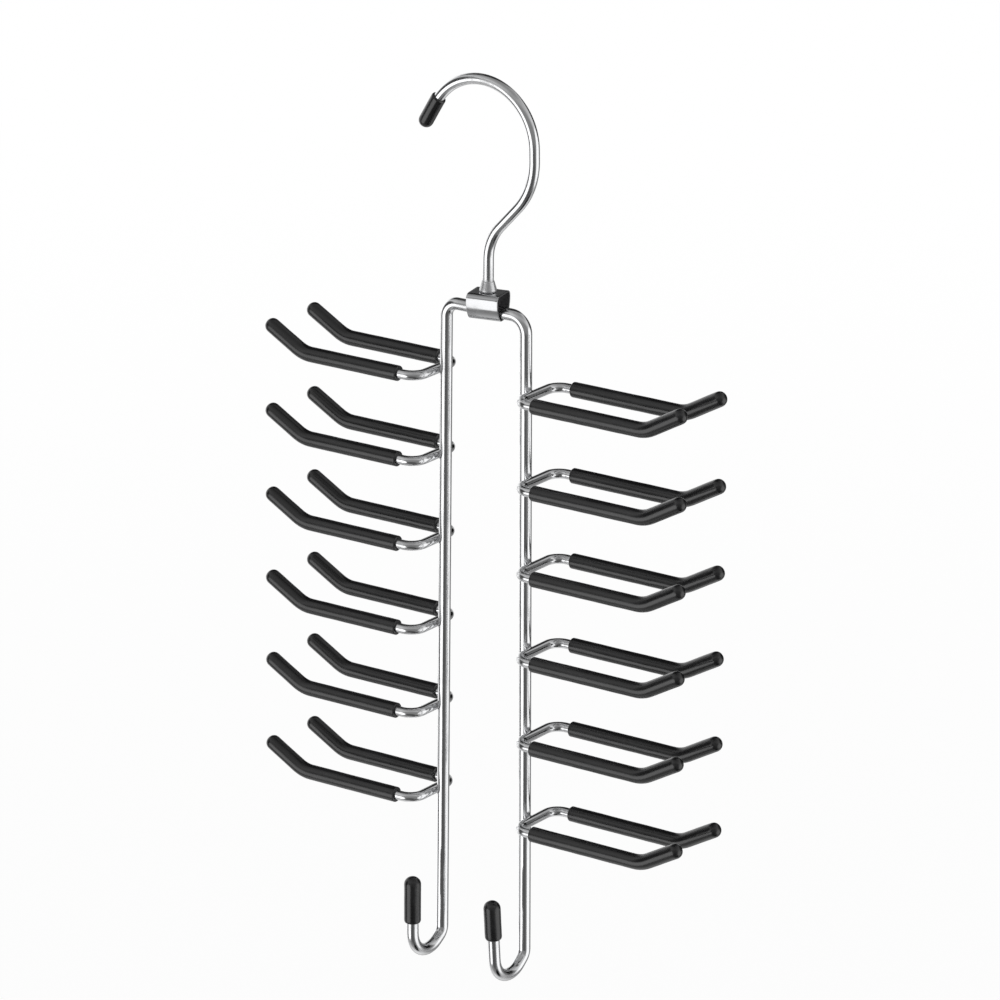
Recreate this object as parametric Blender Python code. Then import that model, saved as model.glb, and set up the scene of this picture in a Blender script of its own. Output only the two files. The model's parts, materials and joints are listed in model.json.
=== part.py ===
"""Tie and belt hanger: a wire frame with twelve sleeved arms under a swivel hook.

Sizes are in metres. +Z is up, -Y is the front, +X is the right-hand side.
The origin is the rod seat: the highest point inside the crown of the hook.
"""

import math

import bmesh
import bpy
from mathutils import Quaternion, Vector


# Clearance left between pieces that touch, slide or are welded
FIT = 0.0003

# Swivel hook: round wire, measured along its centre line
HOOK_WIRE_D = 0.0045
CROWN_R = 0.0253
CROWN_END_ANGLE = math.radians(149)
TAIL_LENGTH = 0.0126
STEM_OFFSET = 0.0036
CROWN_RISE = 0.0156
NECK_LENGTH = 0.0322
NECK_ANGLE = math.radians(47)
NECK_UPPER_R = 0.0287
NECK_LOWER_R = 0.0206
STEM_LENGTH = 0.02155

# Upset collar that rides on the clip, and the head held inside it
COLLAR_D = 0.0070
COLLAR_TOP_D = 0.0052
COLLAR_RIM = 0.0006
COLLAR_SHOULDER = 0.0005
COLLAR_HEIGHT = 0.0042
HEAD_D = 0.0068
HEAD_THICKNESS = 0.0020
HEAD_CHAMFER = 0.0003

# Folded clip that joins the hook to the frame, and its turn on the frame's top bar
CLIP_LENGTH = 0.0136
CLIP_WALL = 0.0007
CLIP_TOP_R = 0.0030
CLIP_BOTTOM_FLAT = 0.0032
CLIP_SEAM = 0.0005
CLIP_TURN = math.radians(12)
HEAD_SIDE_ROOM = 0.0025
HEAD_UNDER_ROOM = 0.0021

# Frame: one wire with two legs that spread a little and end in belt hooks
FRAME_WIRE_D = 0.0050
LEG_SPACING = 0.0385
LEG_SPREAD = math.radians(0.3)
FRAME_SHIFT = 0.00085
LEFT_CORNER_R = 0.0055
RIGHT_CORNER_R = 0.0070
LEG_LENGTH = 0.2707
LEFT_BELT_SLANT = math.radians(58)
RIGHT_BELT_SLANT = math.radians(51)
RIGHT_BELT_LEAN = math.radians(4.8)
BELT_SLANT_RUN = 0.0025
BELT_HEEL_R = 0.0050
BELT_BOWL_R = 0.0107
BELT_HOOK_RISE = 0.0306

# Tie arms: each a wire bent to a U, with its base welded to a leg
ARM_LEVELS = 6
ARM_WIRE_D = 0.0040
ARM_PITCH = 0.0359
ARM_FIRST_DROP = 0.0290
RIGHT_ARM_DROP = 0.0017
LOWEST_ARM_DROP = 0.0008
ARM_REACH_LEFT = 0.0605
ARM_REACH_RIGHT = 0.0665
PRONG_SPACING = 0.0280
ARM_CORNER_R = 0.0060
ARM_BEND_R = 0.0140
TIP_LENGTH = 0.0210
TIP_ANGLE = math.radians(29)

# Vinyl sleeves on the arms, and the caps on the three hooks
SLEEVE_WALL = 0.00085
SLEEVE_START = 0.0133
SLEEVE_END_WALL = 0.0016
HOOK_CAP_WALL = 0.0005
HOOK_CAP_LENGTH = 0.0150
BELT_CAP_WALL = 0.0007
LEFT_BELT_CAP_LENGTH = 0.0200
RIGHT_BELT_CAP_LENGTH = 0.0170
CAP_END_WALL = 0.0012
# Share of a wall that its mouth edge is rounded by
CAP_MOUTH_ROUND = 0.8
SLEEVE_MOUTH_ROUND = 0.0

# Facets
WIRE_SIDES = 12
ARM_SIDES = 10
CROWN_STEPS = 15
CORNER_STEPS = 5
BEND_STEPS = 3
BOWL_STEPS = 8
DOME_STEPS = 3
MOUTH_STEPS = 2
HOLE_SIDES = 24

SIDES = {"left": -1, "right": 1}
ROWS = ("front", "back")

# Colour, roughness and metallic value of each finish
CHROME = ((0.80, 0.81, 0.83, 1.0), 0.08, 1.0)
VINYL = ((0.022, 0.022, 0.024, 1.0), 0.48, 0.0)

# Places worked out from the sizes above
ARM_REACH = {"left": ARM_REACH_LEFT, "right": ARM_REACH_RIGHT}
SIDE_DROP = {"left": 0.0, "right": RIGHT_ARM_DROP}
BELT_CAP_LENGTH = {"left": LEFT_BELT_CAP_LENGTH, "right": RIGHT_BELT_CAP_LENGTH}
BELT_SLANT = {"left": LEFT_BELT_SLANT, "right": RIGHT_BELT_SLANT}
BELT_LEAN = {"left": 0.0, "right": RIGHT_BELT_LEAN}
TOP_CORNER_R = {"left": LEFT_CORNER_R, "right": RIGHT_CORNER_R}
CROWN_CENTRE = Vector((0, 0, -(CROWN_R - HOOK_WIRE_D / 2)))
NECK_TOP = Vector((
    STEM_OFFSET + NECK_LENGTH * math.cos(NECK_ANGLE),
    0,
    CROWN_CENTRE.z - CROWN_RISE,
))
NECK_FOOT = Vector((STEM_OFFSET, 0, NECK_TOP.z - NECK_LENGTH * math.sin(NECK_ANGLE)))
CLIP_TOP_Z = NECK_FOOT.z - STEM_LENGTH
CLIP_DEPTH = HEAD_D + 2 * (HEAD_SIDE_ROOM + CLIP_WALL)
HEAD_TOP_Z = CLIP_TOP_Z - CLIP_WALL - FIT
HEAD_FOOT_Z = HEAD_TOP_Z - HEAD_THICKNESS
BAR_Z = HEAD_FOOT_Z - HEAD_UNDER_ROOM - FRAME_WIRE_D / 2
CLIP_BOTTOM_R = FRAME_WIRE_D / 2 + FIT + CLIP_WALL
FRAME_X = STEM_OFFSET - FRAME_SHIFT
HEEL_Z = BAR_Z - LEG_LENGTH
BELT_TIP_Z = HEEL_Z + BELT_HOOK_RISE


class Route:
    """A centre line of straight runs and round bends, with a turning-free frame."""

    def __init__(self, corners, bends, across):
        """Round each inner corner with its (radius, steps) pair from bends."""
        samples = [(corners[0], (corners[1] - corners[0]).normalized())]
        for index, (radius, steps) in enumerate(bends, start=1):
            samples += self.rounded(corners[index - 1:index + 2], radius, steps)
        samples.append((corners[-1], (corners[-1] - corners[-2]).normalized()))
        self.follow(samples, across)

    @staticmethod
    def rounded(triple, radius, steps):
        """Points and directions along the arc that rounds the middle corner, if it fits."""
        before, corner, after = triple
        come = (corner - before).normalized()
        leave = (after - corner).normalized()
        turn = come.angle(leave)
        room = min((corner - before).length, (after - corner).length)
        radius = min(radius, 0.95 * room / math.tan(turn / 2))
        start = corner - come * radius * math.tan(turn / 2)
        axis = come.cross(leave).normalized()
        centre = start + axis.cross(come) * radius
        arc = []
        for step in range(steps + 1):
            spin = Quaternion(axis, turn * step / steps)
            arc.append((centre + spin @ (start - centre), spin @ come))
        return arc

    def follow(self, samples, across):
        """Store the samples, their distance along the route and their frames."""
        self.points = [samples[0][0]]
        self.ways = [samples[0][1]]
        self.normals = [(across - samples[0][1] * across.dot(samples[0][1])).normalized()]
        self.marks = [0.0]
        for point, way in samples[1:]:
            twist = self.ways[-1].rotation_difference(way)
            self.marks.append(self.marks[-1] + (point - self.points[-1]).length)
            self.normals.append(twist @ self.normals[-1])
            self.points.append(point)
            self.ways.append(way)

    @property
    def length(self):
        return self.marks[-1]

    def between(self, start, end):
        """The bend points' distances that lie inside a stretch, in its direction."""
        low, high = sorted((start, end))
        margin = FIT / 10
        bend_marks = self.marks[1:-1]
        inside = [mark for mark in bend_marks if low + margin < mark < high - margin]
        return inside if start < end else inside[::-1]

    def frame(self, mark):
        """Point, direction and normal at a distance along the route."""
        index = 0
        while index < len(self.marks) - 2 and self.marks[index + 1] <= mark:
            index += 1
        span = self.marks[index + 1] - self.marks[index]
        share = (mark - self.marks[index]) / span
        point = self.points[index].lerp(self.points[index + 1], share)
        share = min(max(share, 0.0), 1.0)
        way = self.ways[index].lerp(self.ways[index + 1], share).normalized()
        normal = self.normals[index].lerp(self.normals[index + 1], share)
        normal = (normal - way * normal.dot(way)).normalized()
        return point, way, normal


def stretch(route, start, end, radius):
    """Profile entries for a run of one radius, with a ring at each bend point."""
    marks = [start, *route.between(start, end), end]
    return [(mark, radius) for mark in marks]


def dome(start, tip, radius):
    """Profile entries that round a tube off to a point on its axis."""
    entries = []
    for step in range(1, DOME_STEPS):
        angle = math.pi / 2 * step / DOME_STEPS
        entries.append((start + (tip - start) * math.sin(angle), radius * math.cos(angle)))
    entries.append((tip, 0.0))
    return entries


def swept_mesh(name, route, profile, sides):
    """Skin a profile of (distance, radius) pairs along a route.

    A first or last radius of zero closes to a point. Any other closes flat.
    """
    bm = bmesh.new()
    rings = []
    for mark, radius in profile:
        point, way, normal = route.frame(mark)
        if radius == 0.0:
            rings.append([bm.verts.new(point)])
            continue
        other = way.cross(normal)
        ring = []
        for side in range(sides):
            angle = math.tau * (side + 0.5) / sides
            spoke = normal * math.cos(angle) + other * math.sin(angle)
            ring.append(bm.verts.new(point + spoke * radius))
        rings.append(ring)
    for ring, following in zip(rings, rings[1:]):
        for side in range(sides):
            after = (side + 1) % sides
            if len(ring) == 1:
                bm.faces.new((ring[0], following[side], following[after]))
            elif len(following) == 1:
                bm.faces.new((ring[after], ring[side], following[0]))
            else:
                bm.faces.new((ring[side], following[side], following[after], ring[after]))
    for end in (rings[0], rings[-1]):
        if len(end) > 1:
            bm.faces.new(end)
    bmesh.ops.recalc_face_normals(bm, faces=bm.faces)
    return finished_mesh(name, bm)


def finished_mesh(name, bm):
    """Turn a bmesh into a mesh that is smooth over its rounds and sharp at its edges."""
    mesh = bpy.data.meshes.new(name)
    bm.to_mesh(mesh)
    bm.free()
    mesh.shade_smooth()
    mesh.set_sharp_from_angle(angle=math.radians(40))
    return mesh


def wire_mesh(name, route, radius, sides):
    """A plain round wire with square-cut ends."""
    return swept_mesh(name, route, stretch(route, 0.0, route.length, radius), sides)


def rounded_mouth(mouth, ahead, outer_r, size):
    """Profile entries that round the outer edge of a tube's mouth."""
    entries = []
    for step in range(MOUTH_STEPS):
        angle = math.pi / 2 * step / MOUTH_STEPS
        set_back = ahead * size * (1 - math.cos(angle))
        entries.append((mouth + set_back, outer_r - size * (1 - math.sin(angle))))
    return entries


def cover_profile(route, mouth, tip, bore_r, wall, end_wall, mouth_round):
    """Profile of a tube closed at its tip: along the bore, round the mouth and back out."""
    outer_r = bore_r + wall
    size = wall * mouth_round
    ahead = math.copysign(1, tip - mouth)
    profile = stretch(route, tip - ahead * end_wall, mouth, bore_r)
    if size:
        profile += rounded_mouth(mouth, ahead, outer_r, size)
    profile += stretch(route, mouth + ahead * size, tip - ahead * outer_r, outer_r)
    return profile + dome(tip - ahead * outer_r, tip, outer_r)


def new_material(name, finish):
    """A Principled material with one of the finishes above."""
    colour, roughness, metallic = finish
    material = bpy.data.materials.new(name)
    material.use_nodes = True
    shader = material.node_tree.nodes["Principled BSDF"]
    shader.inputs["Base Color"].default_value = colour
    shader.inputs["Roughness"].default_value = roughness
    shader.inputs["Metallic"].default_value = metallic
    material.diffuse_color = colour
    return material


def place(name, mesh, parent, location=(0, 0, 0)):
    """Add an object at a place in its parent's space."""
    item = bpy.data.objects.new(name, mesh)
    bpy.context.scene.collection.objects.link(item)
    item.parent = parent
    item.location = location
    return item


def clear_scene():
    """Remove whatever the scene holds."""
    for item in list(bpy.data.objects):
        bpy.data.objects.remove(item, do_unlink=True)


def hook_route():
    """Centre line of the hook, from the head in the clip to the bare end of the tail."""
    spread = NECK_TOP - CROWN_CENTRE
    bearing = math.atan2(spread.z, spread.x)
    crown_start = bearing + math.acos(CROWN_R / spread.length)
    sweep = CROWN_END_ANGLE - crown_start
    samples = []
    for step in range(CROWN_STEPS + 1):
        angle = crown_start + sweep * step / CROWN_STEPS
        spoke = Vector((math.cos(angle), 0, math.sin(angle)))
        samples.append((CROWN_CENTRE + spoke * CROWN_R, Vector((-spoke.z, 0, spoke.x))))
    crown_end, tail_way = samples[-1]
    samples.append((crown_end + tail_way * (TAIL_LENGTH - CAP_END_WALL - FIT), tail_way))
    foot = Vector((STEM_OFFSET, 0, HEAD_FOOT_Z))
    neck_bends = [(NECK_LOWER_R, CORNER_STEPS), (NECK_UPPER_R, CORNER_STEPS)]
    route = Route([foot, NECK_FOOT, NECK_TOP, samples[0][0]], neck_bends, Vector((1, 0, 0)))
    lower = list(zip(route.points, route.ways))[:-1]
    route.follow(lower + samples, Vector((1, 0, 0)))
    return route


def hook_profile(route):
    """Head, stem, collar and plain wire of the hook, from its foot."""
    wire_r = HOOK_WIRE_D / 2
    head_r = HEAD_D / 2
    collar_foot = CLIP_TOP_Z + FIT - HEAD_FOOT_Z
    collar_top = collar_foot + COLLAR_HEIGHT
    profile = [
        (0.0, head_r - HEAD_CHAMFER),
        (HEAD_CHAMFER, head_r),
        (HEAD_THICKNESS - HEAD_CHAMFER, head_r),
        (HEAD_THICKNESS, head_r - HEAD_CHAMFER),
        (HEAD_THICKNESS, wire_r),
        (collar_foot, wire_r),
        (collar_foot, COLLAR_D / 2),
        (collar_foot + COLLAR_RIM, COLLAR_D / 2),
        (collar_top - COLLAR_SHOULDER, COLLAR_TOP_D / 2),
    ]
    return profile + stretch(route, collar_top, route.length, wire_r)


def build_hook(parent):
    """The swivel hook and the cap on its tail."""
    route = hook_route()
    mesh = swept_mesh("swivel_hook", route, hook_profile(route), WIRE_SIDES)
    mesh.materials.append(new_material("hook_chrome", CHROME))
    place("swivel_hook", mesh, parent)
    tip = route.length + FIT + CAP_END_WALL
    mouth = tip - HOOK_CAP_LENGTH
    bore_r = HOOK_WIRE_D / 2 + FIT
    profile = cover_profile(route, mouth, tip, bore_r, HOOK_CAP_WALL, CAP_END_WALL, CAP_MOUTH_ROUND)
    cap = swept_mesh("hook_tip_cap", route, profile, WIRE_SIDES)
    cap.materials.append(new_material("hook_cap_vinyl", VINYL))
    place("hook_tip_cap", cap, parent)


def clip_outline():
    """Section of the folded clip across its length, as (y, z) points round its skin.

    Its walls lean in towards the foot, which is rounded to fit the frame's wire.
    """
    high = Vector((CLIP_DEPTH / 2 - CLIP_TOP_R, CLIP_TOP_Z - CLIP_TOP_R))
    low = Vector((CLIP_BOTTOM_FLAT / 2, BAR_Z))
    rise = high - low
    lean = math.atan2(rise.y, rise.x) - math.acos((CLIP_BOTTOM_R - CLIP_TOP_R) / rise.length)
    outwards = Vector((math.cos(lean), math.sin(lean)))
    half_seam = Vector((-outwards.y, outwards.x)) * CLIP_SEAM / 2
    corners = [
        (low.x, low.y, CLIP_BOTTOM_R, lean, -math.pi / 2),
        (-low.x, low.y, CLIP_BOTTOM_R, -math.pi / 2, -math.pi - lean),
        (-high.x, high.y, CLIP_TOP_R, -math.pi - lean, -1.5 * math.pi),
        (high.x, high.y, CLIP_TOP_R, -1.5 * math.pi, lean - math.tau),
    ]
    skins = []
    for inset in (0.0, CLIP_WALL):
        foot = low + outwards * (CLIP_BOTTOM_R - inset)
        head = high + outwards * (CLIP_TOP_R - inset)
        seam = (foot + head) / 2
        skin = [tuple(seam - half_seam)]
        for y, z, radius, first, last in corners:
            for step in range(CORNER_STEPS + 1):
                angle = first + (last - first) * step / CORNER_STEPS
                reach = radius - inset
                skin.append((y + reach * math.cos(angle), z + reach * math.sin(angle)))
        skin.append(tuple(seam + half_seam))
        skins.append(skin)
    return skins[0] + skins[1][::-1]


def build_clip(parent):
    """The sheet clip folded round the frame's top bar, with a hole for the hook."""
    bm = bmesh.new()
    outline = [bm.verts.new((-CLIP_LENGTH / 2, y, z - CLIP_TOP_Z)) for y, z in clip_outline()]
    face = bm.faces.new(outline)
    extruded = bmesh.ops.extrude_face_region(bm, geom=[face])["geom"]
    moved = [part for part in extruded if isinstance(part, bmesh.types.BMVert)]
    bmesh.ops.translate(bm, verts=moved, vec=(CLIP_LENGTH, 0, 0))
    bmesh.ops.recalc_face_normals(bm, faces=bm.faces)
    mesh = finished_mesh("hanger_clip", bm)
    mesh.materials.append(new_material("clip_chrome", CHROME))
    clip = place("hanger_clip", mesh, parent)
    clip.rotation_euler.z = CLIP_TURN
    drill = bmesh.new()
    hole_r = HOOK_WIRE_D / 2 + FIT
    depth = 4 * CLIP_WALL
    bmesh.ops.create_cone(
        drill, cap_ends=True, segments=HOLE_SIDES, radius1=hole_r, radius2=hole_r, depth=depth
    )
    cutter = place("stem_hole_cutter", finished_mesh("stem_hole_cutter", drill), parent)
    cutter.display_type = "WIRE"
    cutter.hide_render = True
    cut = clip.modifiers.new("stem_hole", "BOOLEAN")
    cut.operation = "DIFFERENCE"
    cut.object = cutter


def leg_reach(z):
    """How far a leg's centre line stands out from the frame's middle at a height."""
    return LEG_SPACING / 2 + (BAR_Z - z) * math.tan(LEG_SPREAD)


def leg_corners(side):
    """Corners of one half of the frame, from its belt hook's tip to the top bar."""
    slant, lean = BELT_SLANT[side], BELT_LEAN[side]
    bowl_turn = math.pi - slant - lean
    heel_share = BELT_HEEL_R * math.tan(slant / 2)
    bowl_share = BELT_BOWL_R * math.tan(bowl_turn / 2)
    run = heel_share + BELT_SLANT_RUN + bowl_share
    bowl_y, bowl_z = -run * math.sin(slant), HEEL_Z - run * math.cos(slant)
    tip_z = BELT_TIP_Z - CAP_END_WALL - FIT
    tip_y = bowl_y - (tip_z - bowl_z) * math.tan(lean)
    foot_x = SIDES[side] * leg_reach(HEEL_Z)
    corners = [
        (foot_x, tip_y, tip_z),
        (foot_x, bowl_y, bowl_z),
        (foot_x, 0, HEEL_Z),
        (SIDES[side] * leg_reach(BAR_Z), 0, BAR_Z),
    ]
    return [Vector((x, y, z - CLIP_TOP_Z)) for x, y, z in corners]


def frame_route():
    """Centre line of the frame, from one belt hook's tip round to the other's."""
    corners = leg_corners("left") + leg_corners("right")[::-1]
    foot_bends = [(BELT_BOWL_R, BOWL_STEPS), (BELT_HEEL_R, BEND_STEPS)]
    top_bends = [(TOP_CORNER_R[side], CORNER_STEPS) for side in SIDES]
    return Route(corners, foot_bends + top_bends + foot_bends[::-1], Vector((1, 0, 0)))


def build_frame(parent, material):
    """The frame wire and the caps on its two belt hooks."""
    route = frame_route()
    wire_r = FRAME_WIRE_D / 2
    mesh = wire_mesh("hanger_frame", route, wire_r, WIRE_SIDES)
    mesh.materials.append(material)
    place("hanger_frame", mesh, parent)
    rubber = new_material("belt_cap_vinyl", VINYL)
    beyond = FIT + CAP_END_WALL
    ends = {"left": (-beyond, 1), "right": (route.length + beyond, -1)}
    for side, (tip, inward) in ends.items():
        mouth = tip + inward * BELT_CAP_LENGTH[side]
        profile = cover_profile(
            route, mouth, tip, wire_r + FIT, BELT_CAP_WALL, CAP_END_WALL, CAP_MOUTH_ROUND
        )
        cap = swept_mesh("belt_hook_cap_" + side, route, profile, WIRE_SIDES)
        cap.materials.append(rubber)
        place("belt_hook_cap_" + side, cap, parent)


def arm_route(side):
    """Centre line of one arm about its leg, from the front tip round to the back tip."""
    way = SIDES[side]
    base_x = way * (FRAME_WIRE_D / 2 + ARM_WIRE_D / 2 + FIT)
    bend_x = way * ARM_REACH[side]
    half = PRONG_SPACING / 2
    bare_tip = TIP_LENGTH - SLEEVE_END_WALL - FIT
    rise = Vector((way * math.cos(TIP_ANGLE), 0, math.sin(TIP_ANGLE))) * bare_tip
    front = [
        Vector((bend_x, -half, 0)) + rise,
        Vector((bend_x, -half, 0)),
        Vector((base_x, -half, 0)),
    ]
    back = [Vector((point.x, -point.y, point.z)) for point in front[::-1]]
    tip_bend = (ARM_BEND_R, BEND_STEPS)
    corner = (ARM_CORNER_R, CORNER_STEPS)
    return Route(front + back, [tip_bend, corner, corner, tip_bend], Vector((0, 1, 0)))


def sleeve_mesh(name, side, row, route):
    """One sleeve that covers a prong from near its base to past its tip."""
    beyond = FIT + SLEEVE_END_WALL
    bend_share = ARM_BEND_R * (TIP_ANGLE - 2 * math.tan(TIP_ANGLE / 2))
    prong = ARM_REACH[side] - SLEEVE_START + TIP_LENGTH + bend_share
    if row == "front":
        tip = -beyond
        mouth = tip + prong
    else:
        tip = route.length + beyond
        mouth = tip - prong
    bore_r = ARM_WIRE_D / 2 + FIT
    profile = cover_profile(
        route, mouth, tip, bore_r, SLEEVE_WALL, SLEEVE_END_WALL, SLEEVE_MOUTH_ROUND
    )
    return swept_mesh(name, route, profile, ARM_SIDES)


def build_arms(parent):
    """Six arms on each leg, and a sleeve on each of their prongs."""
    chrome = new_material("arm_chrome", CHROME)
    vinyl = new_material("sleeve_vinyl", VINYL)
    for side, way in SIDES.items():
        route = arm_route(side)
        arm = wire_mesh("arm_" + side, route, ARM_WIRE_D / 2, ARM_SIDES)
        arm.materials.append(chrome)
        sleeves = {}
        for row in ROWS:
            sleeves[row] = sleeve_mesh("sleeve_" + side + "_" + row, side, row, route)
            sleeves[row].materials.append(vinyl)
        first_z = BAR_Z - ARM_FIRST_DROP - SIDE_DROP[side]
        for level in range(ARM_LEVELS):
            z = first_z - level * ARM_PITCH
            if level == ARM_LEVELS - 1:
                z -= LOWEST_ARM_DROP
            spot = (way * leg_reach(z), 0, z - CLIP_TOP_Z)
            number = str(level + 1)
            place("arm_" + side + "_" + number, arm, parent, spot)
            for row, sleeve in sleeves.items():
                place("sleeve_" + side + "_" + number + "_" + row, sleeve, parent, spot)


def main():
    clear_scene()
    hook_body = place("hook_body", None, None)
    swivel = place("swivel_axis", None, None, (STEM_OFFSET, 0, CLIP_TOP_Z))
    frame_body = place("frame_body", None, swivel, (FRAME_X - STEM_OFFSET, 0, 0))
    build_hook(hook_body)
    build_clip(swivel)
    build_frame(frame_body, new_material("frame_chrome", CHROME))
    build_arms(frame_body)


main()
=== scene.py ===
"""Looks of the tie and belt hanger, built over its packed frame.

Lengths are in metres in the frame's own space: +Z is up, -Y is the front, and
the origin is the highest point inside the crown of the hook.
"""

import json
import math

import bmesh
import bpy
from bpy.props import FloatProperty, FloatVectorProperty, IntProperty, PointerProperty
from mathutils import Matrix, Quaternion, Vector, noise

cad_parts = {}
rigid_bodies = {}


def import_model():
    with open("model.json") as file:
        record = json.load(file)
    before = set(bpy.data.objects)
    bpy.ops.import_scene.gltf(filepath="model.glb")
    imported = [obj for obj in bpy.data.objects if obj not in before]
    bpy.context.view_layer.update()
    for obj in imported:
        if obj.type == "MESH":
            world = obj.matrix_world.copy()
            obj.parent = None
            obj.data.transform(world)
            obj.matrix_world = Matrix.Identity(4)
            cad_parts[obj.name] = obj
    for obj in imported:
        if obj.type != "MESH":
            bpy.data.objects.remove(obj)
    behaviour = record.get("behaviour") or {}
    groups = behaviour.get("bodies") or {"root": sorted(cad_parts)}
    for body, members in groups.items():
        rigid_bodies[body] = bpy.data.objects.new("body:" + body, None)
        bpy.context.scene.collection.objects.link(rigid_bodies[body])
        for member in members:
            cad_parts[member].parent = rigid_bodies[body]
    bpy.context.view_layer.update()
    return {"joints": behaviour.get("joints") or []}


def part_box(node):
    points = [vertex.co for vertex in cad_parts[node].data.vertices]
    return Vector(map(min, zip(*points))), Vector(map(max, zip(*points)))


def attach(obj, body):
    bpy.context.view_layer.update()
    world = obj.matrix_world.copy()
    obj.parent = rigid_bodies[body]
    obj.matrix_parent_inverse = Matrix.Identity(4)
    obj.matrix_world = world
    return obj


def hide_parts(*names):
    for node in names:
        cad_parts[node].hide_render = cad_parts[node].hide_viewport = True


bl_info = {
    "name": "Tie and Belt Hanger",
    "version": (1, 0, 0),
    "blender": (4, 5, 0),
    "location": "3D View > Sidebar > Hanger",
    "description": "Wire hanger with a swivel hook, sleeved tie arms and belt hooks",
    "category": "Add Mesh",
}

for leftover in list(bpy.data.objects):
    bpy.data.objects.remove(leftover, do_unlink=True)

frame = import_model()

# Where the stem passes through the top of the clip, and the middle between the legs
SWIVEL = Vector(frame["joints"][0]["pos_m"])
FRAME_LOW, FRAME_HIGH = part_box("hanger_frame")
FRAME_X = (FRAME_LOW.x + FRAME_HIGH.x) / 2

SIDES = {"left": -1, "right": 1}
ROWS = {"front": -1, "back": 1}

# Brightness of the surroundings from straight down to straight up
HEIGHT_LEVELS = (0.90, 0.20, 0.66, 0.68, 0.25)
# Round panels in them: bearing from the front, height, inner and outer edge in degrees, level
PANELS = (
    (35, -22, 44, 87, 0.23),
    (32, -33, 16, 33, 0.09),
    (80, -66, 12, 20, 0.0),
    (-136, 34, 25, 42, 0.02),
    (-62, 0, 23, 39, 0.06),
    (160, 6, 24, 34, 0.14),
    (168, 12, 14, 24, 0.0),
    (-22, -18, 21, 27, 1.5),
    (109, -13, 27, 33, 1.15),
    (-110, -7, 16, 44, 1.2),
)

# Steps on a cover's rounded mouth and domed tip, and how blunt the dome is
MOUTH_STEPS = 6
DOME_STEPS = 10
DOME_POWER = 0.92
# Greatest distance between the rings of a cover, in its bore and on its outside
BORE_SPACING = 0.003
WALL_SPACING = 0.0012
# How deep the caps' mouths are rounded, as a share of the wall, and how long the hook cap's is
CAP_MOUTH_DEPTH = 0.85
HOOK_CAP_MOUTH_LENGTH = 1.2
# Steps across the square round the stem's hole in the clip, rings in it, and steps on a fold
PATCH_STEPS = 8
HOLE_RINGS = 3
FOLD_STEPS = 10
# Edges of the clip that turn by more than this are cut edges, and steps on their rounding
CUT_TURN = math.radians(60)
CUT_STEPS = 3
# The floor's size, the distances between which it goes over into white, and how white its middle is
FLOOR_RADIUS = 12.0
FLOOR_FADE = (0.6, 3.0)
MIDDLE_WHITE = 0.95
# Width of each round light
LIGHT_WIDTH = 1.2
WHITE = (1, 1, 1, 1)


def length(name, default, description, smallest=0.0001, largest=1.0):
    """A size in metres that a user can change."""
    limits = {"min": smallest, "max": largest, "precision": 5, "unit": "LENGTH"}
    return FloatProperty(name=name, description=description, default=default, **limits)


def angle(name, default, description):
    """An angle, given in degrees and kept in radians."""
    limits = {"min": -math.pi, "max": math.pi, "subtype": "ANGLE", "unit": "ROTATION"}
    return FloatProperty(name=name, description=description, default=math.radians(default), **limits)


def share(name, default, description):
    """A value from nought to one."""
    return FloatProperty(name=name, description=description, default=default, min=0.0, max=1.0)


def number(name, default, description, subtype):
    """A value of another kind, from nought."""
    limits = {"min": 0.0, "max": 500.0, "subtype": subtype}
    return FloatProperty(name=name, description=description, default=default, **limits)


def count(name, default, description, smallest=1):
    """A whole number of steps, sides or copies."""
    return IntProperty(name=name, description=description, default=default, min=smallest, max=128)


def colour(name, default, description):
    """A colour that a user can change."""
    limits = {"size": 3, "min": 0.0, "max": 1.0, "subtype": "COLOR"}
    return FloatVectorProperty(name=name, description=description, default=default, **limits)


class HangerHook(bpy.types.PropertyGroup):
    """Sizes of the swivel hook."""

    wire: length("Wire", 0.0045, "Diameter of the hook's wire")
    crown_radius: length("Crown radius", 0.0253, "Radius of the crown to the wire's centre")
    crown_end: angle("Crown end", 149, "Where the crown ends and the straight tail begins")
    tail: length("Tail", 0.0126, "Straight tail past the crown, cap included")
    crown_rise: length("Crown rise", 0.0156, "Height of the crown's centre over the neck's upper corner")
    neck: length("Neck", 0.0322, "Length of the sloping neck between its corners")
    neck_slope: angle("Neck slope", 47, "Slope of the neck from the level")
    upper_bend: length("Upper bend", 0.0287, "Bend radius between the crown and the neck")
    lower_bend: length("Lower bend", 0.0206, "Bend radius between the neck and the stem")
    stem: length("Stem", 0.02155, "Height of the neck's lower corner over the clip")
    collar: length("Collar", 0.0070, "Diameter of the collar's foot")
    collar_top: length("Collar top", 0.0052, "Diameter of the collar's upper end")
    collar_rim: length("Collar rim", 0.0006, "Height of the collar's straight foot")
    collar_shoulder: length("Collar shoulder", 0.0005, "Height of the step from the collar to the wire")
    collar_height: length("Collar height", 0.0042, "Height of the whole collar")
    head: length("Head", 0.0068, "Diameter of the head inside the clip")
    head_thickness: length("Head thickness", 0.0020, "Thickness of that head")


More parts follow.
